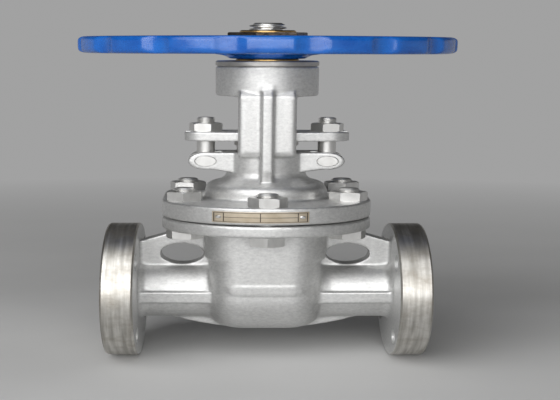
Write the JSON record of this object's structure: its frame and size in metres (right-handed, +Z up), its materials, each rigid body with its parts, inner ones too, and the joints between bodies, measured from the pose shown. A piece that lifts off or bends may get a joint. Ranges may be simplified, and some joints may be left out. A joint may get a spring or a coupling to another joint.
{
  "type": "gate valve",
  "caption": "Flanged wedge gate valve with a bolted bonnet, an open yoke, a rising stem and a scalloped blue handwheel that lifts the wedge out of the flow.",
  "frame": {"origin": "centre of the inlet flange's raised face, on the bore axis", "axes": "+X along the bore from inlet to outlet, +Z up the stem, +Y to the back"},
  "size_m": [0.202, 0.202, 0.3782],
  "materials": {
    "cast_stainless": "blasted casting, satin grey, with bright turned flange rims",
    "machined_steel": "turned",
    "polished_stem": "ground and threaded",
    "fastener_steel": "satin stainless",
    "graphite": "matt pressed graphite",
    "nameplate_bronze": "brushed, bare",
    "yoke_bronze": "turned bronze",
    "blue_paint": "gloss enamel",
    "blackened_steel": "black oxide"
  },
  "bodies": {
    "valve": {"body": "cast_stainless", "bonnet": "cast_stainless", "gland_flange": "cast_stainless", "seat_ring_inlet": "machined_steel", "seat_ring_outlet": "machined_steel", "bonnet_gasket": "graphite", "bonnet_bolts": "fastener_steel", "bonnet_nuts": "fastener_steel", "gland_nuts": "fastener_steel", "nameplate": "nameplate_bronze", "nameplate_rivets": "fastener_steel", "backseat_bushing": "machined_steel", "gland_bushing": "machined_steel", "eyebolt_left": "fastener_steel", "eyebolt_right": "fastener_steel", "eyebolt_pins": "fastener_steel", "yoke_cap": "machined_steel", "packing_ring_1": "graphite", "packing_ring_2": "graphite", "packing_ring_3": "graphite", "packing_ring_4": "graphite", "packing_ring_5": "graphite"},
    "handwheel": {"yoke_nut": "yoke_bronze", "handwheel": "blue_paint", "handwheel_key": "machined_steel", "handwheel_nut": "blackened_steel"},
    "stem": {"stem": "polished_stem", "wedge": "machined_steel"}
  },
  "joints": [
    {"name": "handwheel_turn", "type": "hinge", "parent": "valve", "child": "handwheel", "pos_m": [0.089, 0, 0.2727], "axis": [0, 0, 1], "range_deg": [0, 5040]},
    {"name": "stem_rise", "type": "slide", "parent": "valve", "child": "stem", "axis": [0, 0, 1], "range_m": [0, 0.056]}
  ],
  "couplings": [
    {"joint": "stem_rise", "follows": "handwheel_turn", "m_per_rad": 0.0006366}
  ]
}
